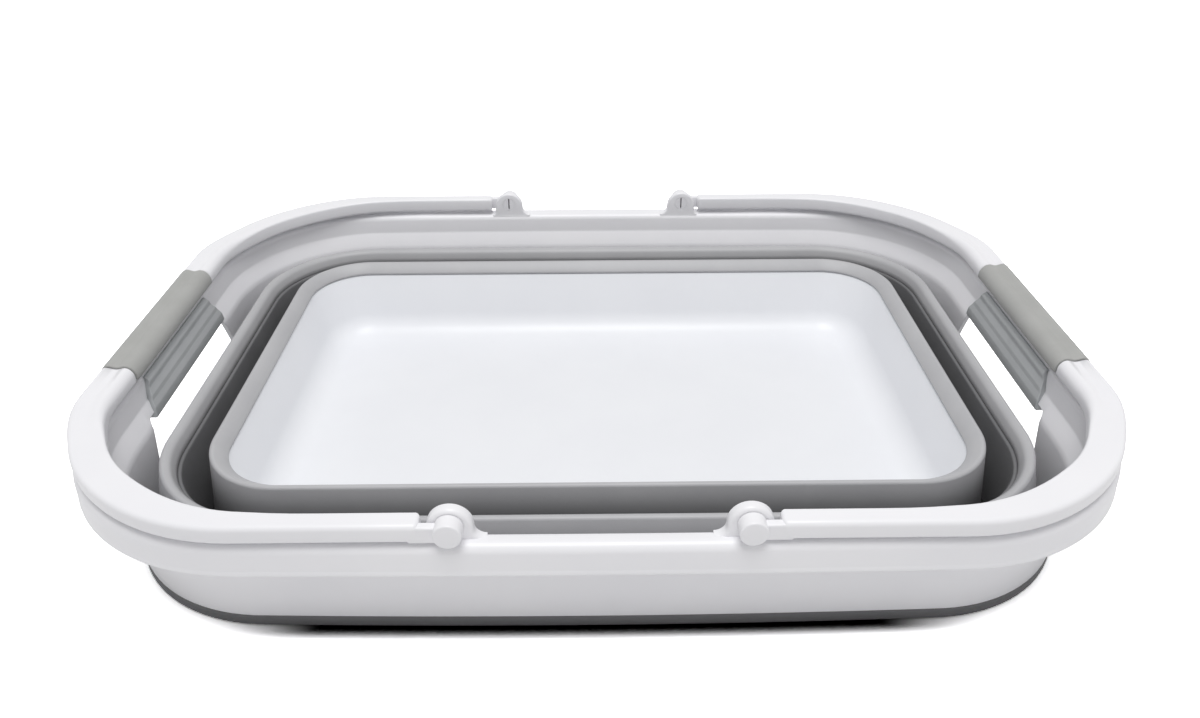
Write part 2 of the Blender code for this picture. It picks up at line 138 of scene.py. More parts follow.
def newObject(name, data):
    piece = bpy.data.objects.new(name, data)
    bpy.context.scene.collection.objects.link(piece)
    return piece


def finishMesh(bm, name):
    bmesh.ops.remove_doubles(bm, verts=bm.verts, dist=limits["merge"] * mm)
    bmesh.ops.recalc_face_normals(bm, faces=bm.faces)
    mesh = bpy.data.meshes.new(name)
    bm.to_mesh(mesh)
    bm.free()
    return mesh


def loftMesh(name, rows, capStart=True):
    # Each row is a closed ring of 3-D points in mm
    bm = bmesh.new()
    loops = [[bm.verts.new(Vector(point) * mm) for point in row] for row in rows]
    for first, second in zip(loops, loops[1:]):
        for index in range(len(first)):
            after = (index + 1) % len(first)
            bm.faces.new((first[index], second[index], second[after], first[after]))
    if capStart:
        bm.faces.new(loops[0])
    bm.faces.new(loops[-1])
    return finishMesh(bm, name)


def turnedMesh(name, profile, centre, steps=48):
    # profile is (radius, y), turned about an axis along Y through centre (x, z)
    rows = []
    for radius, y in profile:
        circle = arcPoints(centre, max(radius, limits["axisRadius"]), 0.0, 360.0, steps)[:-1]
        rows.append([(x, y, z) for x, z in circle])
    return loftMesh(name, rows)


def bevelEdges(bm, edges, width):
    bmesh.ops.bevel(bm, geom=edges, offset=width * mm, segments=3, affect="EDGES", profile=0.5)


def boxMesh(name, low, high, edge=0.0):
    bm = bmesh.new()
    middle = (Vector(low) + Vector(high)) / 2 * mm
    size = (Vector(high) - Vector(low)) * mm
    place = Matrix.Translation(middle) @ Matrix.Diagonal((*size, 1.0))
    bmesh.ops.create_cube(bm, size=1.0, matrix=place)
    if edge:
        bevelEdges(bm, list(bm.edges), edge)
    return finishMesh(bm, name)


def mirroredMesh(mesh, axis):
    copy = mesh.copy()
    scale = [1.0, 1.0, 1.0, 1.0]
    scale[axis] = -1.0
    copy.transform(Matrix.Diagonal(scale))
    copy.flip_normals()
    return copy


def joinedMesh(name, meshes):
    bm = bmesh.new()
    for mesh in meshes:
        bm.from_mesh(mesh)
    return finishMesh(bm, name)


def applied(piece):
    # The piece with its modifiers baked into a plain mesh
    depsgraph = bpy.context.evaluated_depsgraph_get()
    evaluated = piece.evaluated_get(depsgraph)
    mesh = bpy.data.meshes.new_from_object(evaluated, depsgraph=depsgraph)
    mesh.name = piece.name
    piece.modifiers.clear()
    piece.data = mesh
    return piece


def combine(piece, operation, mesh):
    helper = newObject("helper", mesh)
    boolean = piece.modifiers.new("combine", "BOOLEAN")
    boolean.operation = operation
    boolean.object = helper
    boolean.solver = "EXACT"
    applied(piece)
    bpy.data.objects.remove(helper)


def combineBothSides(piece, operation, mesh):
    # The mesh stands at the front and its mirror image at the back
    combine(piece, operation, joinedMesh("bothSides", [mesh, mirroredMesh(mesh, 1)]))


def bowWalls(piece, fromReach):
    # The long walls belly out a little, most at their foot
    for vert in piece.data.vertices:
        x, y, z = vert.co / mm
        along = max(1.0 - (x / tub["coreHalfX"]) ** 2, 0.0)
        outside = smoothStep((abs(y) - tub["coreHalfY"] - fromReach) / tub["bowFade"])
        bow = mix(tub["bowFoot"], tub["bowRim"], z / tub["bowTopZ"])
        vert.co.y += math.copysign(bow * along * outside, y) * mm


def dress(piece, material, body, node, smoothAngle=38.0):
    mesh = piece.data
    mesh.materials.clear()
    mesh.materials.append(material)
    mesh.shade_smooth()
    mesh.set_sharp_from_angle(angle=math.radians(smoothAngle))
    if isinstance(body, str):
        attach(piece, body)
    else:
        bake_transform(piece)
    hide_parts(node)


class Wire:
    # A socket that can be used in sums; each sum adds its Math node
    def __init__(self, desk, socket):
        self.desk = desk
        self.socket = socket

    def sum(self, operation, first, second):
        return self.desk.node("ShaderNodeMath", {"operation": operation}, {0: first, 1: second})

    def __add__(self, other):
        return self.sum("ADD", self, other)

    def __radd__(self, other):
        return self.sum("ADD", other, self)

    def __sub__(self, other):
        return self.sum("SUBTRACT", self, other)

    def __rsub__(self, other):
        return self.sum("SUBTRACT", other, self)

    def __mul__(self, other):
        return self.sum("MULTIPLY", self, other)

    def __rmul__(self, other):
        return self.sum("MULTIPLY", other, self)

    def __abs__(self):
        return self.desk.node("ShaderNodeMath", {"operation": "ABSOLUTE"}, {0: self})

    def between(self, low, high):
        # 0 at low, 1 at high, smooth in between
        return self.desk.node("ShaderNodeMapRange", {"interpolation_type": "SMOOTHSTEP"},
                              {"Value": self, "From Min": low, "From Max": high})


class Desk:
    # Adds nodes to one tree
    def __init__(self, tree):
        self.tree = tree

    def feed(self, socket, value):
        if isinstance(value, Wire):
            self.tree.links.new(value.socket, socket)
        else:
            socket.default_value = value

    def node(self, kind, settings=None, inputs=None, output=0):
        node = self.tree.nodes.new(kind)
        for key, value in (settings or {}).items():
            setattr(node, key, value)
        for key, value in (inputs or {}).items():
            self.feed(node.inputs[key], value)
        return Wire(self, node.outputs[output])

    def ray(self, kind):
        return self.node("ShaderNodeLightPath", output=f"Is {kind} Ray")

    def eyeRay(self):
        # 1 for what the camera sees, straight or in gloss or glass
        seen = self.ray("Camera") + self.ray("Glossy") + self.ray("Transmission")
        return seen.between(0.0, 0.5)


def makeContourTree():
    # Carries a section round the tub's plan
    tree = bpy.data.node_groups.new("contourSweep", "GeometryNodeTree")
    face = tree.interface
    face.new_socket("Section", in_out="INPUT", socket_type="NodeSocketGeometry")
    sockets = {}
    for name, kind in (("Core length", "Float"), ("Core width", "Float"), ("Path reach", "Float"),
                       ("Corner steps", "Int"), ("Material", "Material")):
        socket = face.new_socket(name, in_out="INPUT", socket_type="NodeSocket" + kind)
        sockets[name] = socket.identifier
    face.new_socket("Shell", in_out="OUTPUT", socket_type="NodeSocketGeometry")
    desk = Desk(tree)
    groupInput, groupOutput = tree.nodes.new("NodeGroupInput"), tree.nodes.new("NodeGroupOutput")
    given = {name: Wire(desk, groupInput.outputs[name]) for name in ("Section", *sockets)}
    reach = given["Path reach"]
    path = desk.node("GeometryNodeCurvePrimitiveQuadrilateral", None,
                     {"Width": given["Core length"] + reach * 2.0,
                      "Height": given["Core width"] + reach * 2.0})
    fillet = desk.node("GeometryNodeFilletCurve", {"mode": "POLY"},
                       {"Curve": path, "Radius": reach, "Count": given["Corner steps"]})
    upright = desk.node("GeometryNodeSetCurveNormal", {"mode": "Z_UP"}, {"Curve": fillet})
    section = desk.node("GeometryNodeMeshToCurve", None, {"Mesh": given["Section"]})
    sweep = desk.node("GeometryNodeCurveToMesh", None,
                      {"Curve": upright, "Profile Curve": section})
    real = desk.node("GeometryNodeRealizeInstances", None, {0: sweep})
    paint = desk.node("GeometryNodeSetMaterial", None,
                      {"Geometry": real, "Material": given["Material"]})
    desk.feed(groupOutput.inputs[0], paint)
    return tree, sockets


contourTree, contourSockets = makeContourTree()


def contourPiece(name, outline, material, closed=True):
    # The sweep maps a section's x outwards from the path and its y downwards
    pathReach = sum(point[0] for point in outline) / len(outline)
    bm = bmesh.new()
    verts = [bm.verts.new(((reach - pathReach) * mm, -up * mm, 0)) for reach, up in outline]
    for first, second in zip(verts, verts[1:]):
        bm.edges.new((first, second))
    if closed:
        bm.edges.new((verts[-1], verts[0]))
    mesh = bpy.data.meshes.new(name)
    bm.to_mesh(mesh)
    bm.free()
    piece = newObject(name, mesh)
    sweep = piece.modifiers.new("contour sweep", "NODES")
    sweep.node_group = contourTree
    values = {"Core length": 2 * tub["coreHalfX"] * mm, "Core width": 2 * tub["coreHalfY"] * mm,
              "Path reach": pathReach * mm, "Corner steps": tub["cornerSteps"],
              "Material": material}
    for key, value in values.items():
        sweep[contourSockets[key]] = value
    applied(piece)
    bm = bmesh.new()
    bm.from_mesh(piece.data)
    bmesh.ops.remove_doubles(bm, verts=bm.verts, dist=limits["merge"] * mm)
    straight = [edge for edge in bm.edges if edge.calc_length() > tub["coreHalfY"] * mm]
    bmesh.ops.subdivide_edges(bm, edges=straight, cuts=tub["straightCuts"], use_grid_fill=True)
    if not closed:
        rims = [edge for edge in bm.edges if edge.is_boundary]
        bmesh.ops.holes_fill(bm, edges=rims, sides=0)
    bmesh.ops.recalc_face_normals(bm, faces=bm.faces)
    bm.to_mesh(piece.data)
    bm.free()
    return piece


class Finish(Desk):
    # A material whose patterns lie on Object coordinates
    def __init__(self, name):
        self.material = bpy.data.materials.new(name)
        self.material.use_nodes = True
        super().__init__(self.material.node_tree)
        self.shader = self.tree.nodes["Principled BSDF"]
        self.object = self.node("ShaderNodeTexCoord", output="Object")

    def noise(self, size, detail, roughness=0.5, vector=None):
        # size is the width of one blotch in mm
        return self.node("ShaderNodeTexNoise", None,
                         {"Vector": vector or self.object, "Scale": 1.0 / (size * mm),
                          "Detail": detail, "Roughness": roughness})

    def stretched(self, scale):
        return self.node("ShaderNodeMapping", None, {"Vector": self.object, "Scale": scale})

    def along(self, axis):
        # Place along X, Y or Z in metres
        return self.node("ShaderNodeSeparateXYZ", None, {0: self.object}, axis)

    def blendColors(self, factor, first, second):
        # A Mix node's colours are its inputs 6 and 7 and its output 2
        return self.node("ShaderNodeMix", {"data_type": "RGBA"},
                         {0: factor, 6: first, 7: second}, 2)

    def bump(self, height, depth, strength=1.0, under=None):
        inputs = {"Height": height, "Distance": depth * mm, "Strength": strength}
        if under:
            inputs["Normal"] = under
        return self.node("ShaderNodeBump", None, inputs)

    def set(self, **values):
        for key, value in values.items():
            self.feed(self.shader.inputs[key.replace("_", " ")], value)
        return self.material


def opaque(color):
    return (*color, 1.0)


def whitePlastic(name, look):
    # Moulded polypropylene: faint flow mottling, fine orange peel, a few hair scuffs
    finish = Finish(name)
    flow = finish.noise(look["flowSize"], detail=3.0, roughness=0.55)
    grain = finish.noise(look["grainSize"], detail=2.0)
    scuffs = finish.noise(look["scuffSize"], detail=3.0, roughness=0.6,
                          vector=finish.stretched(look["scuffStretch"]))
    marks = scuffs.between(*look["scuffRange"])
    color = finish.blendColors(flow.between(*look["flowRange"]), opaque(look["color"]),
                               opaque(look["shade"]))
    roughness = look["roughness"] + flow * look["flowRoughness"] + marks * look["scuffRoughness"]
    peel = finish.bump(grain, look["peelDepth"])
    normal = finish.bump(marks, look["scuffDepth"], look["scuffStrength"], peel)
    return finish.set(Base_Color=color, Roughness=roughness, Normal=normal, Metallic=0.0,
                      IOR=look["refraction"])


def softRubber(name, look):
    # Matt thermoplastic rubber: fine velvety grain, patchy bloom, and, where the look asks for it,
    # painted shade that darkens it towards the bottom of the folds
    finish = Finish(name)
    bloom = finish.noise(look["bloomSize"], detail=4.0, roughness=0.6)
    grain = finish.noise(look["grainSize"], detail=3.0, roughness=0.6)
    color = finish.blendColors(bloom.between(*look["bloomRange"]), opaque(look["color"]),
                               opaque(look["bloom"]))
    # Painted shade: low down the rubber takes the dark colour, standing in for the shade down in
    # the folds
    if "paintedShade" in look:  # darker down in the folds
        height = finish.along("Z").between(look["paintedShadeLow"] * mm, look["paintedShadeHigh"] * mm)
        color = finish.blendColors(height, opaque(look["paintedShade"]), color)
    roughness = look["roughness"] + (bloom - 0.5) * look["bloomRoughness"]
    normal = finish.bump(grain, look["grainDepth"])
    return finish.set(Base_Color=color, Roughness=roughness, Normal=normal, Metallic=0.0,
                      IOR=look["refraction"])


# Sizes and depths in mm
plasticLook = {"color": (0.872, 0.868, 0.892), "shade": (0.85, 0.847, 0.875), "roughness": 0.3,
               "refraction": 1.49, "flowSize": 45.0, "flowRange": (0.3, 0.7),
               "flowRoughness": 0.08, "grainSize": 0.6, "peelDepth": 0.012, "scuffSize": 30.0,
               "scuffStretch": (1.0, 14.0, 5.0), "scuffRange": (0.66, 0.74),
               "scuffRoughness": 0.1, "scuffDepth": 0.01, "scuffStrength": 0.5}
trayLook = dict(plasticLook, color=(0.85, 0.86, 0.888), shade=(0.835, 0.845, 0.875),
                roughness=0.34)
rubberLook = {"color": (0.45, 0.45, 0.465), "bloom": (0.485, 0.485, 0.498), "roughness": 0.42,
              "refraction": 1.45, "bloomSize": 30.0, "bloomRange": (0.3, 0.72),
              "bloomRoughness": 0.15, "grainSize": 0.45, "grainDepth": 0.03}
# The webs' rubber with painted shade: dark below 20 mm, its own grey above 40.5 mm, darker towards
# the bottom of the folds and at the foot
paintedShadeFoldLook = dict(rubberLook, paintedShade=(0.12, 0.12, 0.125), paintedShadeLow=20.0, paintedShadeHigh=40.5)
# The ring is a dark grey, set darker still to stand in for the shade in the groove it lines: partly
# its own colour, partly painted shade
ringLook = dict(rubberLook, color=(0.14, 0.14, 0.146), bloom=(0.16, 0.16, 0.166))
gripLook = dict(rubberLook, color=(0.385, 0.387, 0.375), bloom=(0.415, 0.417, 0.405),
                roughness=0.6, bloomSize=18.0, grainSize=0.5, grainDepth=0.04)
# The end grips are the handle grips' rubber, made lighter and bluer to stand in for the cool light
# the white frame throws on them: painted reflected light
coolLitGripLook = dict(gripLook, color=(0.43, 0.445, 0.455), bloom=(0.46, 0.475, 0.485))

frameWhite = whitePlastic("frameWhite", plasticLook)
handleWhite = whitePlastic("handleWhite", plasticLook)
trayWhite = whitePlastic("trayWhite", trayLook)
softGrey = softRubber("softGrey", paintedShadeFoldLook)
ringGrey = softRubber("ringGrey", ringLook)
gripGrey = softRubber("gripGrey", gripLook)
endGripGrey = softRubber("endGripGrey", coolLitGripLook)
print("materials ready")

# Fitted to the photograph, in metres, degrees and mm of lens
cameraView = {"place": (-0.0024, -0.3920, 0.2703), "pitch": 30.9112, "yaw": 0.5473,
              "roll": 0.1812, "lens": 28.8, "sensor": 36.0, "nearest": 0.01}


def makeCamera():
    pitch, yaw, roll = (math.radians(cameraView[key]) for key in ("pitch", "yaw", "roll"))
    level = Vector((math.sin(yaw), math.cos(yaw), 0.0)) * math.cos(pitch)
    ahead = level - Vector((0.0, 0.0, math.sin(pitch)))
    right = Vector((math.cos(yaw), -math.sin(yaw), 0.0))
    down = ahead.cross(right)
    turnedRight = right * math.cos(roll) + down * math.sin(roll)
    turnedDown = down * math.cos(roll) - right * math.sin(roll)
    data = bpy.data.cameras.new("photoCamera")
    data.lens = cameraView["lens"]
    data.sensor_width = cameraView["sensor"]
    data.sensor_fit = "HORIZONTAL"
    data.clip_start = cameraView["nearest"]
    camera = newObject("photoCamera", data)
    axes = Matrix((turnedRight, -turnedDown, -ahead)).transposed()
    camera.matrix_world = Matrix.Translation(cameraView["place"]) @ axes.to_4x4()
    bpy.context.scene.camera = camera


makeCamera()
print("camera placed")

tray = {"wall": 2.4, "edgeReach": 28.9, "edgeZ": 34.8, "draft": 7.3, "footRound": 15.2,
        "footEnd": -12.0, "footSteps": 14, "flatRun": 6.0}


def trayLine():
    # Middle of the wall: along the floor, round the foot and up to the edge
    floorZ = tray["wall"] / 2
    radius = tray["footRound"]
    lean = tray["draft"] / tray["edgeZ"] * (tray["edgeZ"] - radius)
    centre = (tray["edgeReach"] - lean - radius, floorZ + radius)
    foot = arcPoints(centre, radius, -90.0, tray["footEnd"], tray["footSteps"])
    edge = (tray["edgeReach"], tray["edgeZ"] - tray["wall"] / 2)
    return [(centre[0] - tray["flatRun"], floorZ)] + foot + [edge]


def makeTray():
    line, half = trayLine(), tray["wall"] / 2
    cap = arcPoints(line[-1], half, 135.0, 45.0, 2)
    outline = offsetLine(line, half) + cap + offsetLine(line, -half)[::-1]
    piece = contourPiece("floorTray", outline, trayWhite, closed=False)
    dress(piece, trayWhite, "base", "floor_tray")


makeTray()
print("tray ready")

# Each web lists the two bodies it spans and two heights, crestZ and foldZ; dress gets them but only
# fixes the web where it stands, on no body
lowerWeb = {"node": "lower_web", "bodies": ("base", "ring"), "crestZ": 34.5, "foldZ": 4.5,
            "line": [(42.2, 4.6, 0), (42.2, 1.1, 2.0), (38.0, 1.1, 2.0), (33.7, 39.9, 0.6),
                     (28.4, 35.6, 0)]}
upperWeb = {"node": "upper_web", "bodies": ("ring", "frame"), "crestZ": 32.5, "foldZ": 5.0,
            "line": [(65.9, 5.0, 0), (65.9, 0.9, 1.0), (60.8, 0.9, 1.6), (52.5, 39.25, 0.7),
                     (50.1, 38.2, 3.0), (48.6, 34.9, 2.5), (48.5, 33.6, 0)]}
webs = {"wall": 1.6, "roundSteps": 6, "capSteps": 4, "bowFrom": 58.0, "smoothAngle": 50.0}
ring = {"wall": 2.2, "foot": (42.2, 5.3), "top": (47.1, 32.3), "capSteps": 6}


def makeWeb(name, web):
    line = roundedLine(web["line"], webs["roundSteps"])
    piece = contourPiece(name, thickLine(line, webs["wall"], webs["capSteps"]), softGrey)
    bowWalls(piece, webs["bowFrom"])
    ends = ((0.0, 0.0, web[key] * mm) for key in ("crestZ", "foldZ"))
    dress(piece, softGrey, (*web["bodies"], *ends), web["node"],
          webs["smoothAngle"])


def makeRing():
    outline = thickLine([ring["foot"], ring["top"]], ring["wall"], ring["capSteps"])
    piece = contourPiece("middleRing", outline, ringGrey)
    dress(piece, ringGrey, "ring", "middle_ring")


makeWeb("lowerWeb", lowerWeb)
makeWeb("upperWeb", upperWeb)
makeRing()
print("webs and ring ready")

rim = {"wall": 2.4, "roundSteps": 8, "capSteps": 6, "bowFrom": 50.0,
       "spine": [(65.2, 5.6, 0), (67.8, 33.2, 8.0), (72.3, 41.2, 5.0), (73.4, 49.8, 2.4),
                 (80.3, 51.6, 2.4), (80.7, 41.6, 1.0), (81.0, 40.4, 0)]}
# The hand slots, and the space in which their edges are rounded
slotHole = {"topZ": 36.5, "footZ": 16.0, "topHalf": 47.0, "footHalf": 51.5, "round": 4.0,
            "steps": 6, "lean": 10.0, "shift": -3.8, "reaches": (60.0, 88.0), "edge": 0.5,
            "edgeAngle": 35.0, "edgeX": 180.0, "edgeY": 58.0, "edgeZ": (14.0, 38.0)}
pivot = {"x": 50.7, "z": 58.0, "rimTop": 51.6, "archZ": 56.3, "archRound": 8.0, "archSteps": 28,
         "midFlare": 4.2, "midSteps": 8, "armFlare": 1.8, "armFlareEnd": 354.0, "armSteps": 6,
         "earInner": 73.5, "earThickness": 4.6, "earRoot": 2.6,
         "frontRound": 1.6, "backRound": 0.9, "boreOverrun": 3.0, "clearance": 0.04, "gap": 0.3,
         "pin": 3.6, "pinEdge": 0.15, "pinRecess": 0.08}
earFaceY = -(tub["coreHalfY"] + pivot["earInner"])  # inner face of the front ears
knuckleFaceY = earFaceY - pivot["earThickness"] - pivot["gap"]


def earOutline():
    # Across and up from the middle of the arch, with a flare down to the rim on each side
    base = pivot["rimTop"] - pivot["archZ"]
    arm, middle, radius = pivot["armFlare"], pivot["midFlare"], pivot["archRound"]
    armFlare = arcPoints((-radius - arm, base + arm), arm, 270.0, pivot["armFlareEnd"],
                         pivot["armSteps"])
    arch = arcPoints((0, 0), radius, 180.0, 0.0, pivot["archSteps"])
    midFlare = arcPoints((radius + middle, base + middle), middle, 180.0, 270.0,
                         pivot["midSteps"])
    root = base - pivot["earRoot"]
    return [(-radius - arm, root)] + armFlare + arch + midFlare + [(radius + middle, root)]


def earMesh(side):
    front = earFaceY - pivot["earThickness"]
    stations = [(inset, front + depth) for inset, depth in roundedEdge(pivot["frontRound"])]
    stations += [(inset, earFaceY - depth)
                 for inset, depth in reversed(roundedEdge(pivot["backRound"]))]
    rows = []
    for inset, y in stations:
        outline = offsetLine(earOutline(), -inset, closed=True)
        rows.append([(side * (pivot["x"] - across), y, pivot["archZ"] + up)
                     for across, up in outline])
    return loftMesh("ear", rows)


def slotMesh(side):
    radius, steps, lean = slotHole["round"], slotHole["steps"], slotHole["lean"]
    half = arcPoints((slotHole["topHalf"] - radius, slotHole["topZ"] - radius),
                     radius, 90.0, lean, steps)
    half += arcPoints((slotHole["footHalf"] - radius, slotHole["footZ"] + radius),
                      radius, lean, -90.0, steps)
    outline = half + [(-across, up) for across, up in reversed(half)]
    return loftMesh("slot", [[(side * (tub["coreHalfX"] + reach), across + slotHole["shift"], up)
                              for across, up in outline] for reach in slotHole["reaches"]])


def isSlotEdge(edge):
    if len(edge.link_faces) != 2 or edge.calc_face_angle() <= math.radians(slotHole["edgeAngle"]):
        return False
    x, y, z = (edge.verts[0].co + edge.verts[1].co) / 2 / mm
    lowZ, highZ = slotHole["edgeZ"]
    return abs(x) > slotHole["edgeX"] and abs(y) < slotHole["edgeY"] and lowZ < z < highZ


def makeFrame():
    outline = thickLine(roundedLine(rim["spine"], rim["roundSteps"]), rim["wall"], rim["capSteps"])
    piece = contourPiece("rimFrame", outline, frameWhite)
    bowWalls(piece, rim["bowFrom"])
    bore = pivot["pin"] + pivot["clearance"]
    boreEnds = (earFaceY + pivot["boreOverrun"],
                earFaceY - pivot["earThickness"] - pivot["boreOverrun"])
    for side in (-1, 1):
        hole = turnedMesh("bore", [(bore, y) for y in boreEnds], (side * pivot["x"], pivot["z"]))
        combineBothSides(piece, "UNION", earMesh(side))
        combineBothSides(piece, "DIFFERENCE", hole)
        combine(piece, "DIFFERENCE", slotMesh(side))
    bm = bmesh.new()
    bm.from_mesh(piece.data)
    bevelEdges(bm, [edge for edge in bm.edges if isSlotEdge(edge)], slotHole["edge"])
    bm.to_mesh(piece.data)
    bm.free()
    dress(piece, frameWhite, "frame", "rim_frame")


makeFrame()
print("rim frame ready")

# Shares run from the end bar, 0, round the bend to the arm, 1
handle = {"topZ": 61.0, "bottomZ": 53.3, "armBottomZ": 53.5, "armInner": 73.9, "armOuter": 82.0,
          "armEndX": 60.5, "armEndRound": 1.6, "armEndSteps": 5,
          "armRowsX": (112.0, 104.0, 95.0, 80.0), "bendInner": 67.5, "bendOuter": 80.6,
          "barInner": 70.2, "barOuter": 84.05, "barLift": 0.6, "barRounds": (2.0, 2.2, 2.8, 4.4),
          "armRounds": (1.6, 2.0, 1.9, 1.2), "arcSteps": 6, "topSteps": 9, "valley": 0.95,
          "valleyFrom": 0.15, "valleyTo": 0.85, "gripHalf": 46.4, "gripGap": 0.3, "recess": 0.9,
          "halfRecess": 0.35, "shoulderStart": 0.2, "shoulderEnd": 0.6, "bendFrom": 0.3,
          "taperFrom": 0.55, "taperTo": 1.2, "swellFrom": 0.5}
knuckle = {"radius": 4.9, "thickness": 5.8, "edge": 0.6, "edgeSteps": 5, "neckBottomZ": 53.45,
           "neckTopZ": 60.0, "neckThickness": 3.4, "neckEdge": 0.6, "neckOverlap": 4.0,
           "slit": 0.7, "slitDepth": 4.5, "slitHalf": 3.4, "slitOverrun": 2.0}


def barSection(inner, outer, bottom, top, valley, rounds):
    # A rounded box, from the inner lower corner round the outside and back over the top
    corners = ((inner, 1, bottom, 1, 180.0), (outer, -1, bottom, 1, 270.0),
               (outer, -1, top, -1, 0.0), (inner, 1, top, -1, 90.0))
    arcs = []
    for (across, inward, up, upward, start), radius in zip(corners, rounds):
        centre = (across + inward * radius, up + upward * radius)
        arcs.append(arcPoints(centre, radius, start, start + 90.0, handle["arcSteps"]))
    first, last = Vector(arcs[2][-1]), Vector(arcs[3][0])
    steps = handle["topSteps"]
    flat = [tuple(first.lerp(last, step / steps)) for step in range(1, steps)]
    section = arcs[0] + arcs[1]
    for across, up in arcs[2] + flat + arcs[3]:
        share = (across - inner) / (outer - inner) - handle["valleyFrom"]
        share = min(max(share / (handle["valleyTo"] - handle["valleyFrom"]), 0.0), 1.0)
        section.append((across, up - valley * (0.5 - 0.5 * math.cos(math.tau * share))))
    return section


def handleSection(share, inset=0.0):
    bend = share / handle["bendFrom"]
    taper = (share - handle["taperFrom"]) / (handle["taperTo"] - handle["taperFrom"])
    swell = (share - handle["swellFrom"]) / (1.0 - handle["swellFrom"])
    inner = mix(handle["barInner"], handle["bendInner"], bend)
    inner += mix(0.0, handle["armInner"] - handle["bendInner"], taper)
    outer = mix(handle["barOuter"], handle["bendOuter"], bend)
    outer += mix(0.0, handle["armOuter"] - handle["bendOuter"], swell)
    bottom = mix(handle["bottomZ"], handle["armBottomZ"], bend)
    top = handle["topZ"] + mix(handle["barLift"], 0.0, bend)
    rounds = [mix(bar, arm, bend) for bar, arm in zip(handle["barRounds"], handle["armRounds"])]
    valley = mix(handle["valley"], 0.0, bend)
    return barSection(inner + inset, outer - inset, bottom + inset, top - inset, valley, rounds)


def halfHandleRows():
    # From the middle of the right end bar round the front corner to the end of the arm
    coreX, coreY = tub["coreHalfX"], tub["coreHalfY"]
    gripEnd = handle["gripHalf"] + handle["gripGap"]
    rows = []  # plan point, direction outwards, section
    for y, inset in ((0.0, handle["recess"]), (gripEnd, handle["recess"]),
                     (gripEnd + handle["shoulderStart"], handle["halfRecess"]),
                     (gripEnd + handle["shoulderEnd"], 0.0)):
        rows.append((coreX, -y, 1.0, 0.0, handleSection(0.0, inset)))
    for step in range(tub["cornerSteps"] + 1):
        share = step / tub["cornerSteps"]
        angle = math.radians(90.0 * share)
        rows.append((coreX, -coreY, math.cos(angle), -math.sin(angle), handleSection(share)))
    for x in handle["armRowsX"]:
        share = 1.0 + (coreX - x) / (handle["armOuter"] * math.pi / 2)
        rows.append((x, -coreY, 0.0, -1.0, handleSection(share)))
    for inset, depth in reversed(roundedEdge(handle["armEndRound"], handle["armEndSteps"])):
        rows.append((handle["armEndX"] + depth, -coreY, 0.0, -1.0, handleSection(2.0, inset)))
    return [[(x + outX * reach, y + outY * reach, up) for reach, up in section]
            for x, y, outX, outY, section in rows]


def knuckleMesh():
    # The knuckle outside the ear, and the pin through it
    pin, edge, radius = pivot["pin"], pivot["pinEdge"], knuckle["radius"]
    pinEnd = earFaceY - pivot["pinRecess"]
    outerY = knuckleFaceY - knuckle["thickness"]
    profile = [(0.0, pinEnd), (pin - edge, pinEnd), (pin, pinEnd - edge), (pin, knuckleFaceY),
               (radius, knuckleFaceY)]
    profile += arcPoints((radius - knuckle["edge"], outerY + knuckle["edge"]), knuckle["edge"],
                         0.0, -90.0, knuckle["edgeSteps"])
    return turnedMesh("knuckle", profile + [(0.0, outerY)], (pivot["x"], pivot["z"]))


def makeHandle(name, node, body, side):
    half = loftMesh(name, halfHandleRows(), capStart=False)
    piece = newObject(name, joinedMesh(name, [half, mirroredMesh(half, 1)]))
    x, z = pivot["x"], pivot["z"]
    neck = boxMesh("neck", (x, knuckleFaceY - knuckle["neckThickness"], knuckle["neckBottomZ"]),
                   (handle["armEndX"] + knuckle["neckOverlap"], knuckleFaceY,
                    knuckle["neckTopZ"]), knuckle["neckEdge"])
    slit = boxMesh("slit", (x - knuckle["slit"] / 2, earFaceY - knuckle["slitDepth"],
                            z - knuckle["slitHalf"]),
                   (x + knuckle["slit"] / 2, earFaceY + knuckle["slitOverrun"],
                    z + knuckle["slitHalf"]))
    combineBothSides(piece, "UNION", knuckleMesh())
    combineBothSides(piece, "UNION", neck)
    combineBothSides(piece, "DIFFERENCE", slit)
    if side < 0:
        piece.data = mirroredMesh(piece.data, 0)
    dress(piece, handleWhite, body, node)


makeHandle("leftHandle", "left_handle", "left_bail", -1)
makeHandle("rightHandle", "right_handle", "right_bail", 1)
print("handles ready")

handleGrip = {"wall": 1.3, "gap": 0.25, "halfLength": 46.4, "edge": 0.5, "capSteps": 4,
              "outerLowZ": 54.6, "innerLowZ": 55.4}
# The section runs down the face, under the lip and up the back; the ends slant above slantLowZ
endGrip = {"halfLength": 44.5, "edge": 0.4, "roundSteps": 4, "shift": 0.5, "slant": 0.16,
           "slantLowZ": 36.0, "slantHighZ": 52.0,
           "section": [(71.4, 50.0, 0), (69.9, 48.8, 2.0), (70.2, 46.2, 2.5), (68.8, 43.2, 2.5),
                       (68.6, 41.3, 3.0), (67.5, 38.6, 3.0), (67.0, 33.7, 1.3),
                       (72.3, 33.7, 1.3), (73.1, 38.2, 0.4), (71.4, 38.7, 0.4),
                       (71.4, 42.0, 3.0), (72.2, 46.0, 2.0), (71.9, 48.8, 1.5),
                       (73.0, 50.3, 0.3), (71.8, 50.8, 0.4), (71.4, 50.0, 0)]}
gripSmoothAngle = 50.0


def gripStations(grip):
    # (inset, y) along a grip, with both its ends rounded
    end = [(inset, grip["halfLength"] - depth) for inset, depth in roundedEdge(grip["edge"])]
    return [(inset, -y) for inset, y in end] + end[::-1]


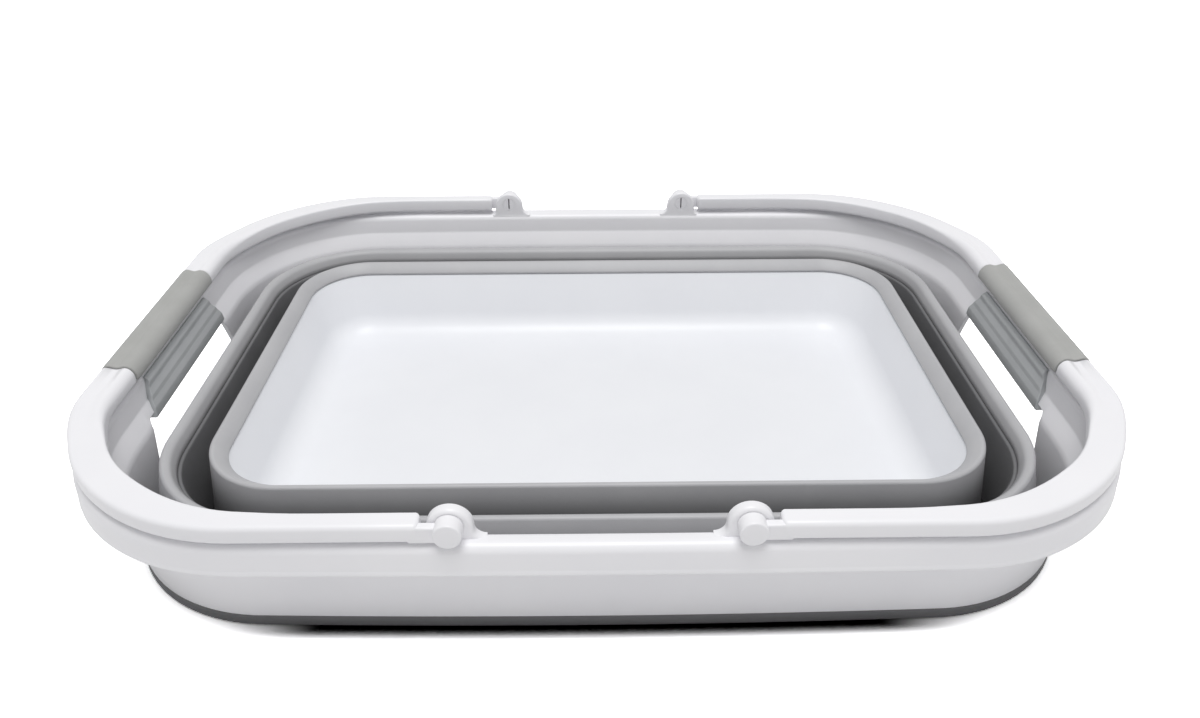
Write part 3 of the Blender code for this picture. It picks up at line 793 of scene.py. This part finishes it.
def handleGripLine():
    # Over the bar, from its outer side to its inner side
    bar = handleSection(0.0, handle["recess"])
    over = bar[2 * (handle["arcSteps"] + 1):]
    outerEnd = (over[0][0], handleGrip["outerLowZ"])
    innerEnd = (over[-1][0], handleGrip["innerLowZ"])
    return offsetLine([outerEnd] + over + [innerEnd], -(handleGrip["gap"] + handleGrip["wall"] / 2))


def handleGripRows(side):
    return [[(side * (tub["coreHalfX"] + reach), y, up) for reach, up in
             thickLine(handleGripLine(), handleGrip["wall"], handleGrip["capSteps"], inset)]
            for inset, y in gripStations(handleGrip)]


def endGripRows(side):
    section = roundedLine(endGrip["section"], endGrip["roundSteps"])[:-1]
    slantHeight = endGrip["slantHighZ"] - endGrip["slantLowZ"]
    rows = []
    for inset, y in gripStations(endGrip):
        row = []
        for reach, up in offsetLine(section, inset, closed=True):
            rise = smoothStep((up - endGrip["slantLowZ"]) / slantHeight)
            row.append((side * (tub["coreHalfX"] + reach),
                        y * (1.0 - endGrip["slant"] * rise) + endGrip["shift"], up))
        rows.append(row)
    return rows


def makeGrip(name, node, body, rows, material):
    piece = newObject(name, loftMesh(name, rows))
    dress(piece, material, body, node, gripSmoothAngle)


for hand, side in (("left", -1), ("right", 1)):
    makeGrip(hand + "HandleGrip", hand + "_handle_grip", hand + "_bail", handleGripRows(side),
             gripGrey)
    makeGrip(hand + "EndGrip", hand + "_end_grip", "frame", endGripRows(side), endGripGrey)
print("grips ready")

# Lengths in metres. The contact shadow fades along X, from endFrom to endTo
stage = {"floorSize": 6.0, "floorZ": -0.0001, "floorColor": 0.88, "floorGain": 3.2,
         "glossGain": 1.1, "contactReach": 0.0125, "contactLow": 0.6, "contactHigh": 0.9,
         "contactSamples": 16, "endFrom": 0.105, "endTo": 0.155, "endFade": 0.95,
         "ambient": 0.48}
lamps = [
    {"name": "topSoftbox", "place": (0.0, -0.28, 1.37), "aim": (0.0, 0.0, 0.0), "size": 0.8,
     "power": 10.5},
    {"name": "frontFill", "place": (0.1, -1.5, 0.4), "aim": (0.0, 0.0, 0.03), "size": 1.0,
     "power": 0.3},
]


def floorPaint():
    # White with a contact shadow to the eye, plain pale grey to the light on the tub
    paint = Finish("floorPaint")
    paint.tree.nodes.remove(paint.shader)
    openness = paint.node("ShaderNodeAmbientOcclusion", {"samples": stage["contactSamples"]},
                          {"Distance": stage["contactReach"]}, "AO")
    gain = stage["glossGain"] + paint.ray("Camera") * (stage["floorGain"] - stage["glossGain"])
    ends = abs(paint.along("X")).between(stage["endFrom"], stage["endTo"])
    shade = 1.0 - openness.between(stage["contactLow"], stage["contactHigh"])
    white = (1.0 - shade * (1.0 - ends * stage["endFade"])) * gain
    plain = paint.node("ShaderNodeBsdfDiffuse", None, {"Color": opaque([stage["floorColor"]] * 3)})
    bright = paint.node("ShaderNodeBsdfDiffuse", None, {"Color": white})
    both = paint.node("ShaderNodeMixShader", None, {0: paint.eyeRay(), 1: plain, 2: bright})
    paint.feed(paint.tree.nodes["Material Output"].inputs["Surface"], both)
    return paint.material


def makeFloor():
    bm = bmesh.new()
    bmesh.ops.create_grid(bm, x_segments=1, y_segments=1, size=stage["floorSize"] / 2)
    mesh = bpy.data.meshes.new("floor")
    bm.to_mesh(mesh)
    bm.free()
    mesh.materials.append(floorPaint())
    floor = newObject("floor", mesh)
    floor.location.z = stage["floorZ"]


def makeWorld():
    world = bpy.data.worlds.new("studio")
    bpy.context.scene.world = world
    world.use_nodes = True
    sky = Desk(world.node_tree)
    sky.tree.nodes.remove(sky.tree.nodes["Background"])
    white = opaque((1.0, 1.0, 1.0))
    plain, bright = (sky.node("ShaderNodeBackground", None, {"Color": white, "Strength": strength})
                     for strength in (stage["ambient"], 1.0))
    both = sky.node("ShaderNodeMixShader", None, {0: sky.eyeRay(), 1: plain, 2: bright})
    sky.feed(sky.tree.nodes["World Output"].inputs["Surface"], both)


def makeLamp(lamp):
    data = bpy.data.lights.new(lamp["name"], "AREA")
    data.shape = "DISK"
    data.size = lamp["size"]
    data.energy = lamp["power"]
    light = newObject(lamp["name"], data)
    light.location = lamp["place"]
    aim = Vector(lamp["aim"]) - Vector(lamp["place"])
    light.rotation_euler = aim.to_track_quat("-Z", "Y").to_euler()


makeFloor()
makeWorld()
for lamp in lamps:
    makeLamp(lamp)
bpy.context.scene.view_settings.view_transform = "Standard"
print("stage ready")
